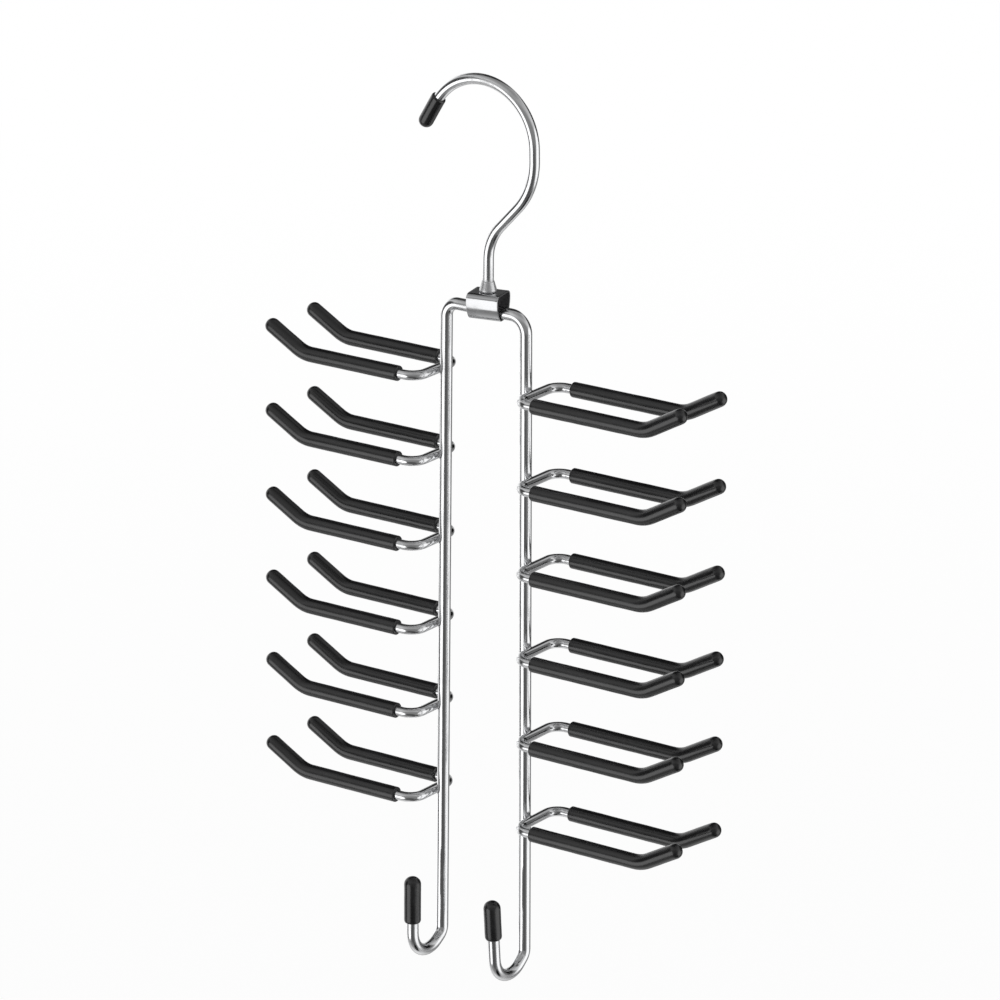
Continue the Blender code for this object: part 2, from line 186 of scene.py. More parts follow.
class HangerClip(bpy.types.PropertyGroup):
    """Sizes of the folded clip."""

    span: length("Span", 0.0136, "Length of the clip along the frame's bar")
    depth: length("Depth", 0.0132, "Depth of the clip across the bar")
    turn: angle("Turn", 12, "How far the clip has turned on the bar")
    sheet: length("Sheet", 0.0007, "Thickness of the folded strip")
    top_bend: length("Top bend", 0.0022, "Outer radius of the two upper folds")
    wall_curve: length("Wall curve", 0.0110, "Outer radius of the slightly bowed walls")
    bottom_flat: length("Bottom flat", 0.0032, "Flat width between the two lower folds")
    seam: length("Seam", 0.00001, "Gap where the strip's ends meet at the back")
    edge: length("Edge round", 0.0002, "Rounding of the strip's cut edges")
    clearance: length("Clearance", 0.0003, "Room round the stem and over the head")


class HangerFrame(bpy.types.PropertyGroup):
    """Sizes of the frame wire and its belt hooks."""

    wire: length("Wire", 0.0050, "Diameter of the frame's wire")
    spacing: length("Leg spacing", 0.0385, "Distance between the legs' centres at the bar")
    leg_spread: angle("Leg spread", 0.3, "How far each leg leans outwards")
    bar_drop: length("Bar drop", 0.0076, "Drop from the clip's top to the bar's centre")
    leg: length("Leg", 0.2707, "Height of a leg from the bar to the heel")
    left_corner: length("Left corner", 0.0055, "Bend radius between the bar and the left leg")
    right_corner: length("Right corner", 0.0070, "Bend radius between the bar and the right leg")
    left_slant: angle("Left slant", 58, "Slant of the left belt hook's back from the upright")
    right_slant: angle("Right slant", 51, "Slant of the right belt hook's back from the upright")
    right_lean: angle("Right lean", 4.8, "How far the right belt hook's front leans forwards")
    slant_run: length("Slant run", 0.0025, "Straight part of a belt hook's back")
    heel: length("Heel", 0.0050, "Bend radius at the foot of a leg")
    bowl: length("Bowl", 0.0107, "Bend radius of a belt hook's bowl")
    rise: length("Belt hook rise", 0.0306, "Height of a belt hook's tip over the heel")


class HangerArms(bpy.types.PropertyGroup):
    """Sizes of the tie arms."""

    wire: length("Wire", 0.0040, "Diameter of an arm's wire")
    levels: count("Levels", 6, "Number of arms on each leg")
    pitch: length("Pitch", 0.0359, "Distance between two arms on a leg")
    first_drop: length("First drop", 0.0290, "Drop from the bar to the first left arm")
    right_drop: length("Right drop", 0.0017, "How much lower the right arms sit")
    lowest_drop: length("Lowest drop", 0.0008, "How much lower the last arm sits than the pitch gives")
    reach_left: length("Left reach", 0.0605, "From the left leg to its arms' bend")
    reach_right: length("Right reach", 0.0665, "From the right leg to its arms' bend")
    spread: length("Spread", 0.0280, "Distance between an arm's two prongs")
    corner: length("Corner", 0.0060, "Bend radius at the arm's base")
    bend: length("Bend", 0.0140, "Bend radius where the tip turns up")
    tip: length("Tip", 0.0210, "Length of the rising tip")
    tip_rise: angle("Tip rise", 29, "Slope of the rising tip")
    weld_gap: length("Weld gap", 0.0003, "Room between a leg and an arm, filled by the weld")
    weld_edge: length("Weld edge", 0.0015, "Radius of the weld bead where it meets the wires")
    weld_neck: length("Weld neck", 0.0010, "Radius of the weld bead at its waist")


class HangerVinyl(bpy.types.PropertyGroup):
    """Sizes of the sleeves and the caps."""

    play: length("Play", 0.00005, "Room between the vinyl and its wire", 0.0)
    sleeve: length("Sleeve", 0.0063, "Diameter of a sleeve")
    sleeve_start: length("Sleeve start", 0.0133, "From the leg to a sleeve's mouth")
    sleeve_round: length("Sleeve round", 0.00035, "Rounding of a sleeve's mouth")
    end_wall: length("End wall", 0.0016, "Vinyl past the end of the wire")
    hook_cap: length("Hook cap", 0.0061, "Diameter of the cap on the hook")
    hook_cap_length: length("Hook cap length", 0.0150, "Length of that cap")
    belt_cap: length("Belt cap", 0.0070, "Diameter of the caps on the belt hooks")
    left_cap_length: length("Left cap length", 0.0200, "Length of the left belt hook's cap")
    right_cap_length: length("Right cap length", 0.0170, "Length of the right belt hook's cap")
    cap_round: length("Cap round", 0.0013, "Length over which a cap's mouth is rounded")
    cap_end_wall: length("Cap end wall", 0.0012, "Vinyl past the end of a hook's wire")
    uneven: length("Unevenness", 0.00005, "How much the vinyl's thickness wanders", 0.0)


class HangerFinish(bpy.types.PropertyGroup):
    """Colours and finishes."""

    chrome: colour("Chrome", (0.85, 0.855, 0.865), "Colour of the bright chrome plating")
    chrome_dull: colour("Dull chrome", (0.72, 0.725, 0.735), "Colour of scuffed plating and stained welds")
    chrome_roughness: share("Chrome roughness", 0.14, "Roughness of the clean plating")
    # Painted shade: the clip's chrome colour is a darker copy of the wire chrome, standing in for the
    # darker reflections on the clip
    strip_chrome: colour("Strip chrome", (0.66, 0.665, 0.675), "Colour of the clip's thinner plating")
    # The clip's inner skin is coloured darker than its outside
    bare_steel: colour("Bare steel", (0.26, 0.26, 0.265), "Colour inside the clip, where no chrome got")
    vinyl: colour("Vinyl", (0.006, 0.006, 0.0065), "Colour of the black vinyl")
    vinyl_bloom: colour("Bloom", (0.014, 0.014, 0.015), "Colour of the vinyl's pale bloom")
    scuffed_vinyl: colour("Scuffed vinyl", (0.09, 0.09, 0.095), "Colour of the scuffs on the vinyl")
    vinyl_roughness: share("Vinyl roughness", 0.25, "Roughness of the vinyl")
    weld: colour("Weld", (0.52, 0.52, 0.53), "Colour of the plated weld beads")
    floor: colour("Floor", (0.90, 0.90, 0.90), "Colour of the studio floor")


class HangerDetail(bpy.types.PropertyGroup):
    """How finely the rounds are divided."""

    sides: count("Sides", 28, "Facets round a wire", 8)
    bend_steps: count("Bend steps", 14, "Steps on a bend", 2)
    sleeve_sides: count("Sleeve sides", 36, "Facets round a sleeve or a cap", 8)


class HangerStudio(bpy.types.PropertyGroup):
    """Camera, floor and lights."""

    azimuth: angle("Azimuth", 35.061, "How far the camera stands to the right of the front")
    elevation: angle("Elevation", 18.404, "How far the camera looks down")
    roll: angle("Roll", 0.336, "Turn of the camera about its own axis")
    distance: length("Distance", 2.386855, "From the camera to its target", 0.1, 10.0)
    focal_length: number("Focal length", 214.92, "Focal length of the lens", "DISTANCE_CAMERA")
    target_x: length("Target across", 0.009942, "Where the camera aims, across", -1.0)
    target_z: length("Target height", -0.16952, "Where the camera aims, in height", -1.0)
    floor_drop: length("Floor drop", 0.80, "How far the floor is under the hook", 0.4, 3.0)
    light_power: number("Light power", 8.0, "Power of each soft light", "POWER")


GROUPS = {
    "hanger_hook": HangerHook,
    "hanger_clip": HangerClip,
    "hanger_frame": HangerFrame,
    "hanger_arms": HangerArms,
    "hanger_vinyl": HangerVinyl,
    "hanger_finish": HangerFinish,
    "hanger_detail": HangerDetail,
    "hanger_studio": HangerStudio,
}


class CentreLine:
    """Centre line of a bent wire, with a direction and a turning-free side vector."""

    def __init__(self, samples, side):
        """Follow (point, direction) samples, starting with a given side vector."""
        self.points, self.ways, self.sides, self.marks = [], [], [], []
        for point, way in samples:
            if self.points:
                side = self.ways[-1].rotation_difference(way) @ side
                self.marks.append(self.marks[-1] + (point - self.points[-1]).length)
            else:
                side = (side - way * side.dot(way)).normalized()
                self.marks.append(0.0)
            self.points.append(point)
            self.ways.append(way)
            self.sides.append(side)
        self.length = self.marks[-1]

    def at(self, mark):
        """Point, direction and side vector at a distance along the line."""
        index = 0
        while index < len(self.marks) - 2 and self.marks[index + 1] <= mark:
            index += 1
        part = (mark - self.marks[index]) / (self.marks[index + 1] - self.marks[index])
        point = self.points[index].lerp(self.points[index + 1], part)
        part = min(max(part, 0.0), 1.0)
        way = self.ways[index].lerp(self.ways[index + 1], part).normalized()
        side = self.sides[index].lerp(self.sides[index + 1], part)
        return point, way, (side - way * side.dot(way)).normalized()


def bend(before, corner, after, radius, steps):
    """Points and directions along the round that a wire makes at a corner."""
    come = (corner - before).normalized()
    leave = (after - corner).normalized()
    turn = come.angle(leave)
    start = corner - come * radius * math.tan(turn / 2)
    axis = come.cross(leave).normalized()
    centre = start + axis.cross(come) * radius
    round_samples = []
    for step in range(steps + 1):
        spin = Quaternion(axis, turn * step / steps)
        round_samples.append((centre + spin @ (start - centre), spin @ come))
    return round_samples


def run(start, end, radius, spacing):
    """Stations of one radius from start to end, at most spacing apart."""
    pieces = max(1, math.ceil(abs(end - start) / spacing))
    return [(start + (end - start) * step / pieces, radius) for step in range(pieces + 1)]


def quarter_round(start, end, steps, opening, power=1.0):
    """Stations of a quarter round from one (distance, radius) to another.

    Opening, the radius changes first, as at a mouth; closing, it changes last,
    as at a tip. A power under one makes the round blunter.
    """
    stations = []
    for step in range(steps + 1):
        turn = math.pi / 2 * step / steps
        rise, fall = math.sin(turn) ** power, 1 - math.cos(turn) ** power
        along, out = (fall, rise) if opening else (rise, fall)
        mark = start[0] + (end[0] - start[0]) * along
        stations.append((mark, start[1] + (end[1] - start[1]) * out))
    return stations


def bridge(bm, rings, closed=False):
    """Faces between each ring of vertices and the next, which may be a single pole.

    Closed, the first and last ring are filled as well.
    """
    for ring, following in zip(rings, rings[1:]):
        for step in range(len(ring)):
            after = (step + 1) % len(ring)
            if len(following) == 1:
                bm.faces.new((ring[after], ring[step], following[0]))
            else:
                bm.faces.new((ring[step], following[step], following[after], ring[after]))
    for end in (rings[0], rings[-1]):
        if closed and len(end) > 1:
            bm.faces.new(end)


def skin(name, line, stations, sides, origin=0.0, uneven=0.0, bore=0.0, seed=0):
    """Skin (distance, radius) stations along a line as one closed mesh.

    The attribute straight keeps where each point would be if the piece were
    straight: across it in x and y, and along it from origin in z. Only points
    outside the bore are uneven.
    """
    waves_round, waves_along, seeds_apart, onset = 0.9, 160, 37, 4
    bm = bmesh.new()
    straight = bm.verts.layers.float_vector.new("straight")
    rings = []
    for mark, radius in stations:
        point, way, side = line.at(mark)
        other = way.cross(side)
        ring = []
        for step in range(sides if radius else 1):
            turn = math.tau * step / sides
            right, up = math.cos(turn), math.sin(turn)
            reach = radius
            if uneven and radius > bore:
                spot = Vector((right * waves_round, up * waves_round, mark * waves_along))
                spot.z += seed * seeds_apart
                reach += uneven * noise.noise(spot) * min(1.0, (radius - bore) / bore * onset)
            vert = bm.verts.new(point + (side * right + other * up) * reach)
            vert[straight] = (right * reach, up * reach, abs(mark - origin))
            ring.append(vert)
        rings.append(ring)
    bridge(bm, rings, closed=True)
    return closed_mesh(name, bm)


def cover_mesh(name, line, mouth, wire, outer, end_wall, mouth_depth, mouth_length, seed):
    """A vinyl cover on a wire: up its bore, round its mouth and back to its domed tip."""
    vinyl, detail = bpy.context.scene.hanger_vinyl, bpy.context.scene.hanger_detail
    bore = wire / 2 + vinyl.play
    tip = line.length + end_wall
    rim, dome = mouth + mouth_length, tip - outer
    stations = run(line.length, mouth, bore, BORE_SPACING)
    stations += quarter_round((mouth, outer - mouth_depth), (rim, outer), MOUTH_STEPS, True)[:-1]
    stations += run(rim, dome, outer, WALL_SPACING)
    stations += quarter_round((dome, outer), (tip, 0.0), DOME_STEPS, False, DOME_POWER)[1:-1]
    stations.append((tip, 0.0))
    return skin(name, line, stations, detail.sleeve_sides, tip, vinyl.uneven, bore, seed)


def closed_mesh(name, bm, sharp=40):
    """A smooth mesh with its faces outwards, sharp where it turns by more than sharp."""
    bmesh.ops.recalc_face_normals(bm, faces=bm.faces)
    if bm.calc_volume(signed=True) < 0:
        bmesh.ops.reverse_faces(bm, faces=bm.faces)
    mesh = bpy.data.meshes.new(name)
    bm.to_mesh(mesh)
    bm.free()
    mesh.shade_smooth()
    mesh.set_sharp_from_angle(angle=math.radians(sharp))
    return mesh


def add_object(name, data):
    """Put a mesh, a light or a camera in the scene at the origin."""
    item = bpy.data.objects.new(name, data)
    bpy.context.scene.collection.objects.link(item)
    return item


def corner_line(corners, radii):
    """A mesh of edges through a wire's corners that carries their bend radii."""
    mesh = bpy.data.meshes.new("corner_line")
    edges = [(index, index + 1) for index in range(len(corners) - 1)]
    mesh.from_pydata(corners, edges, [])
    attribute = mesh.attributes.new("bend_radius", "FLOAT", "POINT")
    attribute.data.foreach_set("value", [0.0, *radii, 0.0])
    return mesh


def add_with_tree(name, mesh, tree, values):
    """Put a mesh in the scene with a node modifier whose inputs are set by identifier."""
    item = add_object(name, mesh)
    modifier = item.modifiers.new(tree.name, "NODES")
    modifier.node_group = tree
    sockets = {socket.name: socket.identifier for socket in tree.interface.items_tree}
    for label, value in values.items():
        modifier[sockets[label]] = value
    return item


def made_mesh(item):
    """What an object's modifiers make, as a plain mesh; the object is dropped."""
    bpy.context.view_layer.update()
    graph = bpy.context.evaluated_depsgraph_get()
    mesh = bpy.data.meshes.new_from_object(item.evaluated_get(graph), depsgraph=graph)
    bpy.data.objects.remove(item, do_unlink=True)
    return mesh


def plain_mesh(item, name):
    """What an object's node modifier makes, as a mesh with its faces outwards."""
    mesh = made_mesh(item)
    bm = bmesh.new()
    bm.from_mesh(mesh)
    bmesh.ops.recalc_face_normals(bm, faces=bm.faces)
    bm.to_mesh(mesh)
    bm.free()
    mesh.name = name
    return mesh


def hang(name, mesh, body, nodes, finish=None):
    """Add a finished piece that rides on a body and stands for the nodes it replaces."""
    if finish:
        mesh.materials.append(finish_of(finish))
    item = add_object(name, mesh)
    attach(item, body)
    if nodes:
        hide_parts(*nodes)


class Board:
    """A node tree being laid out from left to right."""

    spacing = 190

    def __init__(self, tree):
        self.tree = tree
        tree.nodes.clear()

    def add(self, kind, inputs=None, **settings):
        """Add a node with its settings; an input is a value or another node's socket."""
        node = self.tree.nodes.new(kind)
        node.location = (len(self.tree.nodes) * self.spacing, 0)
        for name, value in settings.items():
            setattr(node, name, value)
        for key, value in (inputs or {}).items():
            self.feed(node, key, value)
        return node

    def feed(self, node, key, value):
        """Set a node's input to a value, or lead another node's socket to it."""
        if isinstance(value, bpy.types.NodeSocket):
            self.tree.links.new(value, node.inputs[key])
        else:
            node.inputs[key].default_value = value

    def out(self, kind, inputs=None, socket=0, **settings):
        """Add a node and return one of its outputs."""
        return self.add(kind, inputs, **settings).outputs[socket]

    def maths(self, operation, *values):
        """A maths node's result."""
        return self.out("ShaderNodeMath", dict(enumerate(values)), operation=operation)

    def blend(self, factor, first, second):
        """A mix of two colours by a factor."""
        return self.out("ShaderNodeMix", {0: factor, 6: first, 7: second}, 2, data_type="RGBA")

    def fade(self, value, start, end, low=0.0, high=1.0):
        """A value that goes smoothly from low to high between start and end."""
        inputs = {"Value": value, 1: start, 2: end, 3: low, 4: high}
        return self.out("ShaderNodeMapRange", inputs, interpolation_type="SMOOTHSTEP")

    def grain(self, vector, scale, detail=2.0, rough=0.5):
        """Noise over a vector, of one scale or of a scale for each axis, which draws it out."""
        if isinstance(scale, tuple):
            vector = self.out("ShaderNodeMapping", {"Vector": vector, "Scale": scale})
            scale = 1.0
        inputs = {"Vector": vector, "Scale": scale, "Detail": detail, "Roughness": rough}
        return self.out("ShaderNodeTexNoise", inputs)

    def relief(self, height, strength, distance, below=None):
        """A normal with the height's relief in it, over the relief below it."""
        inputs = {"Height": height, "Strength": strength, "Distance": distance}
        if below:
            inputs["Normal"] = below
        return self.out("ShaderNodeBump", inputs)

    def named(self, name, kind="FLOAT"):
        """The field of an attribute in a geometry tree."""
        inputs = {"Name": name}
        return self.out("GeometryNodeInputNamedAttribute", inputs, "Attribute", data_type=kind)

    def store(self, geometry, name, value, kind="FLOAT", domain="POINT"):
        """The geometry with a field kept as an attribute."""
        inputs = {"Geometry": geometry, "Name": name, "Value": value}
        settings = {"data_type": kind, "domain": domain}
        return self.out("GeometryNodeStoreNamedAttribute", inputs, **settings)


def new_tree(name, sockets):
    """An empty geometry tree with named inputs, as a board and its inputs' sockets."""
    tree = bpy.data.node_groups.new(name, "GeometryNodeTree")
    tree.is_modifier = True
    for label, kind in sockets.items():
        tree.interface.new_socket(label, in_out="INPUT", socket_type="NodeSocket" + kind)
    tree.interface.new_socket("Geometry", in_out="OUTPUT", socket_type="NodeSocketGeometry")
    board = Board(tree)
    return tree, board, board.add("NodeGroupInput").outputs


def finish_tree(board, geometry, material):
    """End a tree in plain meshes of one material."""
    real = board.out("GeometryNodeRealizeInstances", {"Geometry": geometry})
    painted = board.out("GeometryNodeSetMaterial", {"Geometry": real, "Material": material})
    board.add("NodeGroupOutput", {"Geometry": painted})


def bent_wire_tree():
    """Geometry nodes that bend a corner line and give it a round section."""
    sockets = {
        "Corner Line": "Geometry",
        "Wire Diameter": "Float",
        "Bend Steps": "Int",
        "Sides": "Int",
        "Material": "Material",
    }
    tree, board, given = new_tree("bent_wire", sockets)
    inputs = {
        "Curve": board.out("GeometryNodeMeshToCurve", {"Mesh": given["Corner Line"]}),
        "Count": given["Bend Steps"],
        "Radius": board.named("bend_radius"),
        "Limit Radius": False,
    }
    curve = board.out("GeometryNodeFilletCurve", inputs, mode="POLY")
    curve = board.store(curve, "along", board.out("GeometryNodeSplineParameter", socket="Length"))
    radius = board.maths("DIVIDE", given["Wire Diameter"], 2.0)
    inputs = {"Resolution": given["Sides"], "Radius": radius}
    circle = board.out("GeometryNodeCurvePrimitiveCircle", inputs)
    spot = board.out("GeometryNodeInputPosition")
    circle = board.store(circle, "across", spot, "FLOAT_VECTOR")
    inputs = {"Curve": curve, "Profile Curve": circle, "Fill Caps": True}
    wire = board.out("GeometryNodeCurveToMesh", inputs)
    across = board.add("ShaderNodeSeparateXYZ", {0: board.named("across", "FLOAT_VECTOR")}).outputs
    inputs = {0: across[0], 1: across[1], 2: board.named("along")}
    straight = board.out("ShaderNodeCombineXYZ", inputs)
    wire = board.store(wire, "straight", straight, "FLOAT_VECTOR")
    wire = board.out("GeometryNodeSetShadeSmooth", {"Geometry": wire})
    finish_tree(board, wire, given["Material"])
    return tree


def ladder_tree():
    """Geometry nodes that repeat a piece down a leg, each with its own stretch of grain."""
    sockets = {
        "Piece": "Geometry",
        "Levels": "Int",
        "Step": "Vector",
        "Last Step More": "Vector",
        "Seed": "Int",
        "Material": "Material",
    }
    tree, board, given = new_tree("ladder", sockets)
    inputs = {"Count": given["Levels"], "Offset": given["Step"]}
    rungs = board.out("GeometryNodeMeshLine", inputs)
    index = board.out("GeometryNodeInputIndex")
    last = board.maths("GREATER_THAN", index, board.maths("SUBTRACT", given["Levels"], 1.5))
    inputs = {"Geometry": rungs, "Selection": last, "Offset": given["Last Step More"]}
    rungs = board.out("GeometryNodeSetPosition", inputs)
    inputs = {"Points": rungs, "Instance": given["Piece"]}
    copies = board.out("GeometryNodeInstanceOnPoints", inputs)
    smallest, largest = 0.5, 9.5
    inputs = {2: smallest, 3: largest, "Seed": given["Seed"]}
    shift = board.out("FunctionNodeRandomValue", inputs, 1, data_type="FLOAT")
    copies = board.store(copies, "shift", shift, "FLOAT", "INSTANCE")
    real = board.out("GeometryNodeRealizeInstances", {"Geometry": copies})
    offset = board.out("ShaderNodeCombineXYZ", {2: board.named("shift")})
    inputs = {0: board.named("straight", "FLOAT_VECTOR"), 1: offset}
    moved = board.out("ShaderNodeVectorMath", inputs, operation="ADD")
    real = board.store(real, "straight", moved, "FLOAT_VECTOR")
    finish_tree(board, real, given["Material"])
    return tree


def wire_mesh(name, corners, radii, diameter):
    """A round wire bent through its corners."""
    detail = bpy.context.scene.hanger_detail
    values = {
        "Wire Diameter": diameter,
        "Bend Steps": detail.bend_steps,
        "Sides": detail.sides,
        "Material": finish_of("wire_chrome"),
    }
    tree = bpy.data.node_groups.get("bent_wire") or bent_wire_tree()
    return plain_mesh(add_with_tree("wire_blank", corner_line(corners, radii), tree, values), name)


def hang_down_leg(name, side, mesh, seed, finish, nodes):
    """Repeat a piece of the highest arm down its leg, and hang the copies as one piece."""
    scene = bpy.context.scene
    arms = scene.hanger_arms
    bar = leg_spot(side, 0.0, scene)
    values = {
        "Levels": arms.levels,
        "Step": list(leg_spot(side, arms.pitch, scene) - bar),
        "Last Step More": list(leg_spot(side, arms.lowest_drop, scene) - bar),
        "Seed": seed,
        "Material": finish_of(finish),
    }
    tree = bpy.data.node_groups.get("ladder") or ladder_tree()
    item = add_with_tree("rungs_blank", mesh, tree, values)
    hang(name, plain_mesh(item, name), "frame", nodes)


def hook_line(scene):
    """Centre line of the hook from its head in the clip to the bare end of its tail."""
    hook, clip, steps = scene.hanger_hook, scene.hanger_clip, scene.hanger_detail.bend_steps
    centre = Vector((0, 0, hook.wire / 2 - hook.crown_radius))
    across = SWIVEL.x + hook.neck * math.cos(hook.neck_slope)
    upper = Vector((across, 0, centre.z - hook.crown_rise))
    lower = Vector((SWIVEL.x, 0, SWIVEL.z + hook.stem))
    foot = Vector((SWIVEL.x, 0, SWIVEL.z - clip.sheet - clip.clearance - hook.head_thickness))
    reach = (upper - centre).length
    crown_start = math.atan2(upper.z - centre.z, upper.x) + math.acos(hook.crown_radius / reach)
    crown = []
    crown_steps = steps * 5
    for step in range(crown_steps + 1):
        turn = crown_start + (hook.crown_end - crown_start) * step / crown_steps
        spoke = Vector((math.cos(turn), 0, math.sin(turn)))
        crown.append((centre + spoke * hook.crown_radius, Vector((-spoke.z, 0, spoke.x))))
    end, way = crown[-1]
    samples = [(foot, Vector((0, 0, 1)))]
    samples += bend(foot, lower, upper, hook.lower_bend, steps)
    samples += bend(lower, upper, crown[0][0], hook.upper_bend, steps)
    samples += [*crown, (end + way * (hook.tail - scene.hanger_vinyl.cap_end_wall), way)]
    return CentreLine(samples, Vector((1, 0, 0)))


def hook_stations(hook, clip, line):
    """Head, stem, tapered collar and bare wire of the hook, from its foot up."""
    wire, head, thick = hook.wire / 2, hook.head / 2, hook.head_thickness
    soft, head_steps = thick / 6, 4
    stations = quarter_round((0.0, head - soft), (soft, head), head_steps, True)
    stations += quarter_round((thick - soft, head), (thick, head - soft), head_steps, False)
    foot = thick + clip.sheet + 2 * clip.clearance
    top = foot + hook.collar_height
    low, high = foot + hook.collar_rim, top - hook.collar_shoulder
    rim, crest = hook.collar / 2, hook.collar_top / 2
    edge, steps = hook.collar_rim / 3, 6
    ease = edge * 0.3
    stations += [(thick, wire), (foot, wire)]
    stations += [(foot, rim - edge), (foot + ease, rim - ease), (foot + edge, rim)]
    for step in range(steps):
        part = step / steps
        stations.append((low + (high - low) * part, rim + (crest - rim) * part))
    stations += quarter_round((high, crest), (top, wire), steps, False)
    stations += [(mark, wire) for mark in line.marks if mark > top + 0.0001]
    return stations


def clip_section(clip, sizes):
    """Points and outward normals along the clip's strip, from lip to lip of its seam.

    Each entry is (y, z, normal y, normal z), and the number of the first one on
    the flat top comes with them. The bowed walls lean in towards the foot, which
    is rounded to fit the bar.
    """
    foot_bend = sizes.wire / 2 + clip.clearance + clip.sheet
    bow, top_bend = clip.wall_curve, clip.top_bend
    high = Vector((clip.depth / 2 - top_bend, SWIVEL.z - top_bend))
    low = Vector((clip.bottom_flat / 2, SWIVEL.z - sizes.bar_drop))
    rise = high - low
    to_low, to_high = bow - foot_bend, bow - top_bend
    part = (to_low ** 2 - to_high ** 2 + rise.length_squared) / (2 * rise.length)
    aside = Vector((-rise.y, rise.x)).normalized() * math.sqrt(to_low ** 2 - part ** 2)
    centre = low + rise.normalized() * part + aside
    lower = math.atan2(low.y - centre.y, low.x - centre.x)
    upper = math.atan2(high.y - centre.y, high.x - centre.x)
    middle = (lower + upper) / 2
    gap = clip.seam / bow / 2
    down, over = -math.pi / 2, -1.5 * math.pi
    rounds = [
        (*centre, bow, middle - gap, lower),
        (*low, foot_bend, lower, down),
        (-low.x, low.y, foot_bend, down, -math.pi - lower),
        (-centre.x, centre.y, bow, -math.pi - lower, -math.pi - upper),
        (-high.x, high.y, top_bend, -math.pi - upper, over),
        (*high, top_bend, over, upper - math.tau),
        (*centre, bow, upper - math.tau, middle + gap - math.tau),
    ]
    first_lip, second_lip = 0, len(rounds) - 1
    section = []
    for index, (y, z, reach, start, end) in enumerate(rounds):
        # A wall shares its ends with the folds, so it leaves them to them
        wall = reach == bow
        first = 1 if wall and index != first_lip else 0
        last = FOLD_STEPS - 1 if wall and index != second_lip else FOLD_STEPS
        for step in range(first, last + 1):
            turn = start + (end - start) * step / FOLD_STEPS
            normal = (math.cos(turn), math.sin(turn))
            section.append((y + reach * normal[0], z + reach * normal[1], *normal))
        # The flat top goes on from the back fold, which ends straight up
        if end == over:
            top_start = len(section) - 1
            for step in range(1, PATCH_STEPS):
                section.append((-high.x + 2 * high.x * step / PATCH_STEPS, SWIVEL.z, 0.0, 1.0))
    return section, top_start


def clip_mesh(scene):
    """The folded strip with rounded cut edges and a round hole for the stem.

    Its outer and inner skin are grids of the section's rows. The square round
    the hole is filled with rings instead.
    """
    clip = scene.hanger_clip
    section, top_start = clip_section(clip, scene.hanger_frame)
    top_end = top_start + PATCH_STEPS
    patch, half = clip.depth / 2 - clip.top_bend, clip.span / 2
    aside = (patch + half) / 2
    columns = [-patch + 2 * patch * step / PATCH_STEPS for step in range(PATCH_STEPS + 1)]
    across = [-half, -aside, *columns, aside, half]
    left, right = 2, 2 + PATCH_STEPS
    radius = scene.hanger_hook.wire / 2 + clip.clearance
    bm = bmesh.new()
    straight = bm.verts.layers.float_vector.new("straight")
    inside = bm.verts.layers.float.new("inside")
    borders, holes = [], []
    for inset in (0.0, clip.sheet):
        grid = []
        for y, z, normal_y, normal_z in section:
            spot = (y - normal_y * inset, z - normal_z * inset)
            grid.append([bm.verts.new((x, *spot)) for x in across])
        outline = grid[top_start][left:right]
        outline += [row[right] for row in grid[top_start:top_end]]
        outline += grid[top_end][right:left:-1]
        outline += [row[left] for row in grid[top_end:top_start:-1]]
        centre = Vector((0, 0, SWIVEL.z - inset))
        rings = []
        for ring in range(HOLE_RINGS):
            rings.append([])
            for vert in outline:
                rim = centre + (vert.co - centre).normalized() * radius
                rings[-1].append(bm.verts.new(rim.lerp(vert.co, ring / HOLE_RINGS)))
        for vert in [vert for row in grid + rings for vert in row]:
            vert[straight] = (vert.co.y, vert.co.z, vert.co.x)
            vert[inside] = inset / clip.sheet
        for number, (row, following) in enumerate(zip(grid, grid[1:])):
            for column in range(len(across) - 1):
                if not (top_start <= number < top_end and left <= column < right):
                    after = column + 1
                    bm.faces.new((row[column], row[after], following[after], following[column]))
        bridge(bm, [*rings, outline])
        ends = [row[-1] for row in grid[1:-1]], [row[0] for row in grid[-2:0:-1]]
        borders.append(grid[0] + ends[0] + grid[-1][::-1] + ends[1])
        holes.append(rings[0])
    bridge(bm, borders)
    bridge(bm, holes)
    for vert in [vert for vert in bm.verts if not vert.link_faces]:
        bm.verts.remove(vert)
    bmesh.ops.recalc_face_normals(bm, faces=bm.faces)
    cut = []
    for edge in bm.edges:
        one, other = edge.verts
        # The seam's inner lips stay sharp, because they have no room for a round
        lip = abs(one.co.x - other.co.x) > 1e-6 and one[inside] == other[inside] == 1.0
        if edge.calc_face_angle() > CUT_TURN and not lip:
            cut.append(edge)
    bmesh.ops.bevel(bm, geom=cut, offset=clip.edge, segments=CUT_STEPS, profile=0.5, affect="EDGES")
    seat = Matrix.Translation((SWIVEL.x, SWIVEL.y, 0)) @ Matrix.Rotation(clip.turn, 4, "Z")
    bmesh.ops.transform(bm, matrix=seat, verts=bm.verts)
    return closed_mesh("clip", bm, sharp=50)


def leg_spot(side, drop, scene):
    """The point on a leg's centre line at a drop under the top bar."""
    sizes = scene.hanger_frame
    reach = sizes.spacing / 2 + drop * math.tan(sizes.leg_spread)
    return Vector((FRAME_X + SIDES[side] * reach, 0, SWIVEL.z - sizes.bar_drop - drop))


def arm_spot(side, scene):
    """The point on a leg's centre line where its highest arm is."""
    arms = scene.hanger_arms
    return leg_spot(side, arms.first_drop + (arms.right_drop if side == "right" else 0.0), scene)


